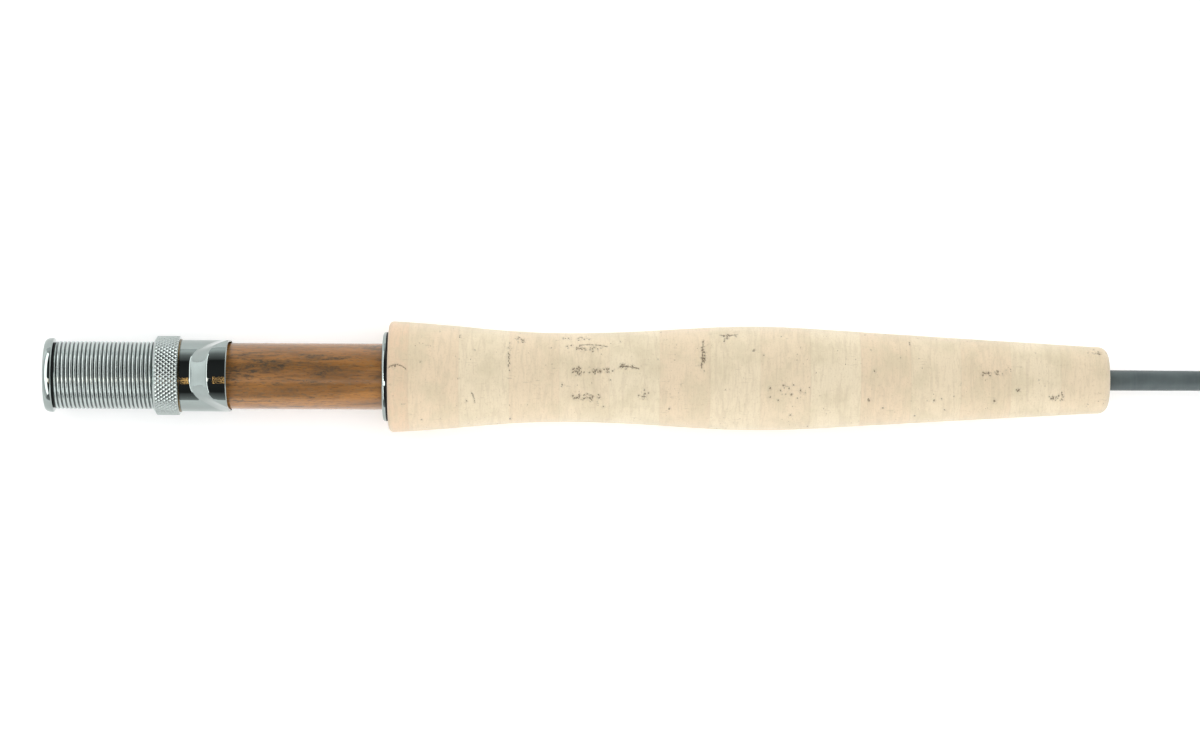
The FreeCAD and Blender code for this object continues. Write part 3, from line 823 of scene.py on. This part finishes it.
def end_rounding(stations, first, last):
    """How much the grip's two rounded ends take off its radius."""
    removed = 0
    for size, depth in ((BUTT_ROUND, stations - first), (FRONT_ROUND, last - stations)):
        into = np.clip(size - depth, 0, size)
        removed = removed + size - np.sqrt(size ** 2 - into ** 2)
    return removed


def grip_ends():
    """The grip's first and last station."""
    return span(CORK_RINGS[0])[0], span(CORK_RINGS[-1])[1]


def grip_form():
    """The grip's smooth outline, fitted to the outer points of the CAD rings."""
    first, last = grip_ends()
    points = []
    for node in CORK_RINGS:
        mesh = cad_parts[node].data
        places = np.zeros(len(mesh.vertices) * 3)
        mesh.vertices.foreach_get("co", places)
        points.append(places.reshape(-1, 3) / MM)
    points = np.concatenate(points)
    stations = points[:, 0]
    radii = np.hypot(points[:, 1], points[:, 2])
    bins = np.round(stations, 1)
    outer = np.array([radii[bins == b].max() for b in bins])
    kept = (radii > outer - OUTER_TOLERANCE) & (radii > LEAST_RADIUS)
    kept &= stations > first + BUTT_ROUND * END_SHARE
    kept &= stations < last - FRONT_ROUND * END_SHARE
    stations, radii = stations[kept], radii[kept]
    radii = radii + end_rounding(stations, first, last)
    rough = np.polynomial.Chebyshev.fit(stations, radii, ROUGH_DEGREE)
    near = np.abs(radii - rough(stations)) < FIT_TOLERANCE
    return np.polynomial.Chebyshev.fit(stations[near], radii[near], FORM_DEGREE)


def ring_stations(start, end):
    """Stations along one ring, closer together where the grip's end is rounded."""
    first, last = grip_ends()
    stations = np.linspace(start, end, round((end - start) / GRID) + 1)
    turns = 1 - np.cos(np.radians(np.linspace(0, 90, END_ROWS)))
    if start == first:
        kept = stations[stations > start + BUTT_ROUND]
        stations = np.concatenate([start + BUTT_ROUND * turns, kept])
    if end == last:
        kept = stations[stations < end - FRONT_ROUND]
        stations = np.concatenate([kept, (end - FRONT_ROUND * turns)[::-1]])
    return stations


def scattered_pits(start, end, chance):
    """Pits anywhere in one ring: station, angle, two half sizes and lean."""
    pits = []
    for _ in range(round((end - start) * PITS_PER_MM)):
        size = PIT_LEAST + PIT_SPREAD * chance.random() ** PIT_RARITY
        station = chance.uniform(start, end)
        angle = chance.uniform(0, TURN)
        across = size * chance.uniform(0.8, 2.2)
        pits.append((station, angle, size, across, chance.normal(0, 0.5)))
    return pits


def worn_spots(chance):
    """The pits of the worn places and cracks: station, height across the grip, and half size."""
    spots = []
    for station, height, along, across, count in WORN:
        sizes = chance.uniform(*WORN_SIZES, count)
        stations = station + along * chance.normal(0, 0.6, count)
        heights = height + across * chance.normal(0, 0.6, count)
        spots += zip(stations, heights, sizes)
    for station, height, last_station, last_height, bow in CRACKS:
        length = math.hypot(last_station - station, last_height - height)
        share = np.linspace(0, 1, round(CRACK_PITS_PER_MM * length))
        wander = chance.normal(0, CRACK_WANDER, len(share))
        stations = station + share * (last_station - station) + wander
        heights = height + share * (last_height - height) + 4 * bow * share * (1 - share)
        spots += zip(stations, heights, chance.uniform(*CRACK_SIZES, len(share)))
    return spots


def pits_of(start, end, form, chance):
    """All the pits in one ring: station, angle, two half sizes and lean."""
    pits = scattered_pits(start, end, chance)
    for station, height, size in worn_spots(chance):
        if start <= station < end:
            level = np.clip(height / form(station), -STEEPEST, STEEPEST)
            pits.append((station, math.acos(level), size, size * 1.3, chance.normal(0, 0.7)))
    return pits


def pitted(stations, angles, radii, pits):
    """How deep in a pit each point of a ring lies, and how stained it is, from 0 to 1."""
    depth = np.zeros((len(stations), len(angles)))
    stain = np.zeros_like(depth)
    ragged = 0.22 * np.sin(9.1 * stations[:, None] + 4 * np.sin(61 * angles[None, :]))
    ragged = ragged + 0.18 * np.sin(73 * angles[None, :] + 3 * np.sin(7.3 * stations[:, None]))
    for station, angle, along, across, lean in pits:
        x = stations[:, None] - station
        y = ((angles[None, :] - angle + math.pi) % TURN - math.pi) * radii[:, None]
        turned = (x * math.cos(lean) + y * math.sin(lean)) / along
        crossed = (y * math.cos(lean) - x * math.sin(lean)) / across
        away = np.hypot(turned, crossed)
        depth = np.maximum(depth, np.clip(1.25 - away + ragged, 0, 1))
        stain = 1 - (1 - stain) * (1 - 0.5 * np.clip(1.3 - away / 2.6 + ragged, 0, 1))
    return depth, stain


def ring_inside(start, end):
    """A ring's inside outline, from front to back: the blank's bore and the cup's recess."""
    bore = reach("blank") + BORE_GAP
    if end <= CUP_RECESS_END:
        return [(end, CUP_RECESS), (start, CUP_RECESS)]
    if start < CUP_RECESS_END:
        step = [(CUP_RECESS_END, bore), (CUP_RECESS_END, CUP_RECESS)]
        return [(end, bore), *step, (start, CUP_RECESS)]
    return [(end, bore), (start, bore)]


def make_cork_ring(node, tone, form, chance):
    """One glued ring of the grip, with pits where the cork broke out."""
    start, end = span(node)
    stations = ring_stations(start, end)
    angles = around(round(TURN * form((start + end) / 2) / GRID))
    radii = form(stations) - end_rounding(stations, *grip_ends())
    depth, stain = pitted(stations, angles, radii, pits_of(start, end, form, chance))
    to_seam = np.minimum(stations - start, end - stations)[:, None]
    seam = np.clip(1 - to_seam / SEAM_HALF, 0, 1) * np.ones_like(depth)
    smooth = wrapped(stations[:, None], radii[:, None], angles[None, :])
    waves = [noise.noise(Vector(p) * WAVES_PER_MM) for p in smooth.reshape(-1, 3)]
    waves = np.array(waves).reshape(depth.shape)
    radii = radii[:, None] - PIT_DEPTH * depth ** PIT_SHAPE - SEAM_DEPTH * seam
    radii = radii + WAVE_HEIGHT * waves
    surface = wrapped(stations[:, None], radii, angles[None, :])

    inside = np.array(ring_inside(start, end))
    hidden = wrapped(inside[:, :1], inside[:, 1:], angles[None, :])
    unmarked = np.zeros(hidden.shape[:2])
    marks = {
        "pit": np.concatenate([depth, unmarked]),
        "stain": np.concatenate([stain, unmarked]),
        "seam": np.concatenate([seam, unmarked]),
        "tone": np.full((len(stations) + len(inside), len(angles)), tone),
    }
    points = np.concatenate([surface, hidden])
    piece = skin("sanded_" + node, points, cork_skin, sharp=60, marks=marks)
    return stand_for(piece, node, "handle")


def make_cork_rings():
    """The grip: rings all turned to one smooth form."""
    form = grip_form()
    chance = np.random.default_rng(SEED)
    for node, tone in zip(CORK_RINGS, RING_TONES):
        make_cork_ring(node, tone, form, chance)


make_butt_cap()
make_threaded_barrel()
make_lock_nut()
make_sliding_hood()
make_wood_insert()
make_blank()
make_cork_rings()

CARRIED_OVER = {
    # Painted shade: the butt seal and hood gasket are black rings in gaps that show dark with shade.
    "butt_seal": painted_shade_rubber,
    "hood_gasket": painted_shade_rubber,
    "snap_ring": spring_steel,
    "swivel_bushing": brass,
    "fixed_hood": chrome,
    "ferrule_spigot": spigot_skin,
    "arbor_bushing_1": bushing_cork,
    "arbor_bushing_2": bushing_cork,
    "arbor_bushing_3": bushing_cork,
}
for node, material in CARRIED_OVER.items():
    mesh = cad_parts[node].data
    mesh.materials.clear()
    mesh.materials.append(material)


# ---------------------------------------------------------------- floor, light and camera

FLOOR_HALF = 3.0
FLOOR_GAP = 0.0005
ROD_MIDDLE = 0.14

# The sky's upward direction, its brightness against height from 0 to 1, and how much red it has.
SKY_UP = (0, -0.17, 1)
SKY_STEPS = [
    (0.0, 0.88), (0.08, 0.72), (0.14, 0.60), (0.28, 0.31),
    (0.47, 0.17), (0.56, 0.12), (0.64, 0.03), (1.0, 0.04),
]
SKY_RED = 0.97

CAMERA_ELEVATION = 85.5
CAMERA_ROLL = 0.3
CAMERA_DISTANCE = 1.109
CAMERA_TARGET = (0.1412, 0.0007, 0)
CAMERA_LENS = 130.5

WARM_WHITE = (1.0, 0.93, 0.84)
WARM = (1.0, 0.52, 0.16)
# Where along the rod the thin warm lamps stand.
WARM_STATIONS = (-0.0690, -0.0600, -0.0475)


def make_floor():
    """A plain pale floor under the handle."""
    mesh = bpy.data.meshes.new("floor")
    level = cad_bounds[0].z - FLOOR_GAP
    corners = [(x, y, level) for x, y in ((-1, -1), (1, -1), (1, 1), (-1, 1))]
    corners = [(x * FLOOR_HALF, y * FLOOR_HALF, z) for x, y, z in corners]
    mesh.from_pydata(corners, [], [(0, 1, 2, 3)])
    floor = bpy.data.objects.new("floor", mesh)
    bpy.context.scene.collection.objects.link(floor)
    floor_paint = Paint("floor").finish(
        Base_Color=colour(0.97, 0.97, 0.97),
        Roughness=0.9,
        Specular_IOR_Level=0.0,
        Emission_Color=colour(1, 1, 1),
        Emission_Strength=0.24,
    )
    mesh.materials.append(floor_paint)


def make_sky():
    """Soft light from all round: dark overhead, pale at the horizon, a little more so at +Y."""
    world = bpy.data.worlds.new("studio")
    bpy.context.scene.world = world
    world.use_nodes = True
    tree = world.node_tree
    direction = tree.nodes.new("ShaderNodeTexCoord").outputs["Generated"]
    height = tree.nodes.new("ShaderNodeVectorMath")
    height.operation = "DOT_PRODUCT"
    height.inputs[1].default_value = SKY_UP
    tree.links.new(direction, height.inputs[0])
    ramp = tree.nodes.new("ShaderNodeValToRGB")
    tree.links.new(height.outputs["Value"], ramp.inputs[0])
    while len(ramp.color_ramp.elements) < len(SKY_STEPS):
        ramp.color_ramp.elements.new(0.5)
    for stop, (place, level) in zip(ramp.color_ramp.elements, SKY_STEPS):
        stop.position = place
        stop.color = (level * SKY_RED, level, level, 1.0)
    tree.links.new(ramp.outputs[0], tree.nodes["Background"].inputs["Color"])


def area_light(
    name, place, size, radiance, aim=ROD_MIDDLE, tint=(1, 1, 1), fills=True, gleams=True
):
    """A rectangular lamp facing a station of the rod. It fills shadows, gleams on metal, or both."""
    lamp = bpy.data.lights.new(name, "AREA")
    lamp.shape = "RECTANGLE"
    lamp.size, lamp.size_y = size
    lamp.energy = radiance * math.pi * size[0] * size[1]
    lamp.color = tint
    light = bpy.data.objects.new(name, lamp)
    light.location = place
    light.rotation_mode = "QUATERNION"
    light.rotation_quaternion = (Vector(place) - Vector((aim, 0, 0))).to_track_quat("Z", "Y")
    light.visible_camera = False
    light.visible_diffuse = fills
    light.visible_glossy = gleams
    bpy.context.scene.collection.objects.link(light)


def make_lights():
    """Three large soft lights, and panels and lamps that only show as reflections."""
    area_light("overhead", (ROD_MIDDLE, 0.0, 1.6), (2.2, 1.2), 2.25, gleams=False)
    area_light("side_far", (ROD_MIDDLE, 1.3, 0.55), (2.8, 1.0), 1.4, gleams=False)
    area_light("side_near", (ROD_MIDDLE, -1.3, 0.55), (2.8, 1.0), 1.85, gleams=False)
    area_light("butt_panel_high", (-0.73, 0.0, 1.05), (5.0, 0.58), 3.0, fills=False)
    area_light("butt_panel_low", (-1.25, 0.0, 0.44), (5.0, 1.0), 0.70, fills=False)
    area_light("tip_panel", (1.18, 0.0, 0.85), (5.0, 1.1), 0.7, fills=False)
    area_light("tip_panel_near", (0.85, -1.00, 0.45), (1.4, 0.7), 1.3, fills=False)
    area_light(
        "ceiling_strip", (-0.49, -0.39, 1.05), (0.66, 0.24), 2.3,
        aim=-0.46, tint=WARM_WHITE, fills=False,
    )
    area_light("ceiling_lamp", (0.030, -0.42, 1.05), (0.060, 0.22), 3.5, aim=0.030, fills=False)
    for number, station in enumerate(WARM_STATIONS):
        area_light(
            f"warm_lamp_{number}", (station, -0.41, 1.05), (0.0014, 0.42), 6.5,
            aim=station, tint=WARM, fills=False,
        )


def make_camera():
    """A view from almost straight above, along a long lens."""
    lens = bpy.data.cameras.new("camera")
    lens.sensor_width = 36
    lens.lens = CAMERA_LENS
    camera = bpy.data.objects.new("camera", lens)
    elevation = math.radians(CAMERA_ELEVATION)
    back = Vector((0, -math.cos(elevation), math.sin(elevation)))
    place = Matrix.Translation(Vector(CAMERA_TARGET) + back * CAMERA_DISTANCE)
    turn = back.to_track_quat("Z", "Y").to_matrix().to_4x4()
    camera.matrix_world = place @ turn @ Matrix.Rotation(math.radians(CAMERA_ROLL), 4, "Z")
    bpy.context.scene.collection.objects.link(camera)
    bpy.context.scene.camera = camera


make_floor()
make_sky()
make_lights()
make_camera()
bpy.context.scene.view_settings.view_transform = "Standard"
bpy.context.scene.view_settings.look = "None"
